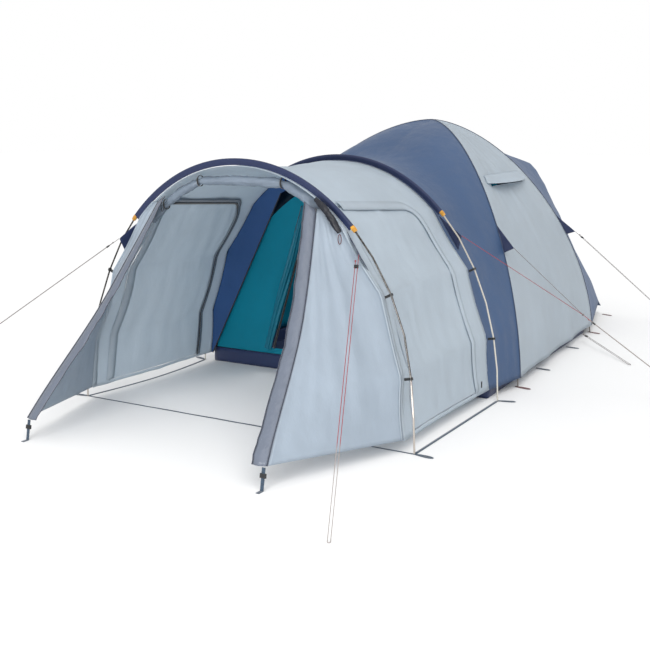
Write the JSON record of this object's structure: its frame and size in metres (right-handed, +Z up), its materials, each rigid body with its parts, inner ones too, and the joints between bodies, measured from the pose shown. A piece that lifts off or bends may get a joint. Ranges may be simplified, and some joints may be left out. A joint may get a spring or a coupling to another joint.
{
  "type": "family tent on poles",
  "caption": "Family tent on poles: a tunnel porch on hoops with side doors and forward wings, ahead of a dome on crossing poles with an inner tent.",
  "frame": {"origin": "on the ground, in the middle of the tent without its guy lines", "axes": "+Y from the porch to the rear, +X to the right for someone facing +Y, +Z up"},
  "size_m": [4.1785, 5.8766, 1.763],
  "materials": {
    "pole": "glossy dark grey fibreglass, paler grey at the bare lower sections",
    "fly_light": "coated polyester, light grey blue, slightly shiny",
    "fly_blue": "coated polyester, slate blue, slightly shiny",
    "fly_grey": "coated polyester, mid grey",
    "sleeve": "navy woven polyester",
    "inner": "thin breathable polyester, teal",
    "tub": "laminated navy polyester, waterproof",
    "webbing": "woven dark webbing",
    "plastic": "moulded black plastic",
    "cord": "braided polyester cord, reddish"
  },
  "bodies": {
    "tent": {"divider_wall": "fly_blue", "dome_front_foot_tab_left": "webbing", "dome_front_foot_tab_right": "webbing", "dome_front_guy_anchor_right": "sleeve", "dome_front_guy_line_right": "cord", "dome_front_panel": "fly_blue", "dome_pole_over": "pole", "dome_pole_under": "pole", "dome_rear_foot_tab_left": "webbing", "dome_rear_foot_tab_right": "webbing", "dome_rear_guy_anchor_right": "sleeve", "dome_rear_guy_line_right": "cord", "dome_rear_panel": "fly_blue", "dome_side_panel_left": "fly_light", "dome_side_panel_right": "fly_light", "front_clip_lower_left": "plastic", "front_clip_lower_right": "plastic", "front_clip_upper_left": "plastic", "front_clip_upper_right": "plastic", "front_ground_strap": "webbing", "front_guy_anchor_left": "sleeve", "front_guy_anchor_right": "sleeve", "front_guy_line_left": "cord", "front_guy_line_right": "cord", "front_hoop_pole": "pole", "front_hoop_sleeve": "sleeve", "inner_canopy": "inner", "inner_door": "inner", "inner_tub_floor": "tub", "low_guy_line_right": "cord", "middle_clip_lower_left": "plastic", "middle_clip_lower_right": "plastic", "middle_clip_upper_left": "plastic", "middle_clip_upper_right": "plastic", "middle_guy_anchor_right": "sleeve", "middle_guy_line_right": "cord", "middle_hoop_pole": "pole", "middle_hoop_sleeve": "sleeve", "porch_flysheet": "fly_light", "rear_brow_pole": "pole", "rolled_front_door": "fly_grey", "side_ground_strap_left": "webbing", "side_ground_strap_right": "webbing"},
    "side_door_left": {"side_door_left": "fly_light"},
    "porch_wing_left": {"porch_wing_left": "fly_light", "wing_strap_left": "webbing"},
    "vent_hood_left": {"vent_hood_left": "fly_light"},
    "door_zip_slider_left": {"door_zip_slider_left": "plastic"},
    "wing_buckle_left": {"wing_buckle_left": "plastic"},
    "side_door_right": {"side_door_right": "fly_light"},
    "porch_wing_right": {"porch_wing_right": "fly_light", "wing_strap_right": "webbing"},
    "vent_hood_right": {"vent_hood_right": "fly_light"},
    "door_zip_slider_right": {"door_zip_slider_right": "plastic"},
    "wing_buckle_right": {"wing_buckle_right": "plastic"},
    "front_guy_runner_right": {"front_guy_runner_right": "plastic"},
    "front_guy_runner_left": {"front_guy_runner_left": "plastic"},
    "middle_guy_runner_right": {"middle_guy_runner_right": "plastic"},
    "dome_rear_guy_runner_right": {"dome_rear_guy_runner_right": "plastic"},
    "low_guy_runner_right": {"low_guy_runner_right": "plastic"}
  },
  "joints": [
    {"name": "side_door_left_hinge", "type": "hinge", "parent": "tent", "child": "side_door_left", "pos_m": [-1.24296, -1.747, 0.14547], "axis": [0.4176, 0.0449, 0.9075], "range_deg": [0, 60]},
    {"name": "porch_wing_left_hinge", "type": "hinge", "parent": "tent", "child": "porch_wing_left", "pos_m": [-1.24876, -1.901, 0.12575], "axis": [-0.3993, -0.0497, -0.9155], "range_deg": [0, 20]},
    {"name": "vent_hood_left_hinge", "type": "hinge", "parent": "tent", "child": "vent_hood_left", "pos_m": [-0.61445, 0.75263, 1.36778], "axis": [0.0825, 0.9966, 0], "range_deg": [-20, 10]},
    {"name": "door_zip_left_slide", "type": "slide", "parent": "tent", "child": "door_zip_slider_left", "axis": [0.0902, 0, 0.9959], "range_m": [0, 0.12]},
    {"name": "wing_buckle_left_slide", "type": "slide", "parent": "porch_wing_left", "child": "wing_buckle_left", "axis": [0, -0.1885, -0.9821], "range_m": [-0.02, 0.03]},
    {"name": "side_door_right_hinge", "type": "hinge", "parent": "tent", "child": "side_door_right", "pos_m": [1.24296, -1.747, 0.14547], "axis": [0.4176, -0.0449, -0.9075], "range_deg": [0, 60]},
    {"name": "porch_wing_right_hinge", "type": "hinge", "parent": "tent", "child": "porch_wing_right", "pos_m": [1.24876, -1.901, 0.12575], "axis": [-0.3993, 0.0497, 0.9155], "range_deg": [0, 20]},
    {"name": "vent_hood_right_hinge", "type": "hinge", "parent": "tent", "child": "vent_hood_right", "pos_m": [0.61445, 0.75263, 1.36778], "axis": [0.0825, -0.9966, 0], "range_deg": [-20, 10]},
    {"name": "door_zip_right_slide", "type": "slide", "parent": "tent", "child": "door_zip_slider_right", "axis": [-0.0902, 0, 0.9959], "range_m": [0, 0.12]},
    {"name": "wing_buckle_right_slide", "type": "slide", "parent": "porch_wing_right", "child": "wing_buckle_right", "axis": [0, -0.1885, -0.9821], "range_m": [-0.02, 0.03]},
    {"name": "front_guy_runner_right_slide", "type": "slide", "parent": "tent", "child": "front_guy_runner_right", "axis": [0.3229, -0.7184, -0.6161], "range_m": [-0.04, 0.25]},
    {"name": "front_guy_runner_left_slide", "type": "slide", "parent": "tent", "child": "front_guy_runner_left", "axis": [-0.5568, -0.6145, -0.5589], "range_m": [-0.04, 0.25]},
    {"name": "middle_guy_runner_right_slide", "type": "slide", "parent": "tent", "child": "middle_guy_runner_right", "axis": [0.7977, 0.152, -0.5836], "range_m": [-0.04, 0.25]},
    {"name": "dome_rear_guy_runner_right_slide", "type": "slide", "parent": "tent", "child": "dome_rear_guy_runner_right", "axis": [0.4301, 0.6812, -0.5924], "range_m": [-0.04, 0.25]},
    {"name": "low_guy_runner_right_slide", "type": "slide", "parent": "tent", "child": "low_guy_runner_right", "axis": [0.6523, -0.7538, -0.0788], "range_m": [-0.04, 0.25]}
  ]
}
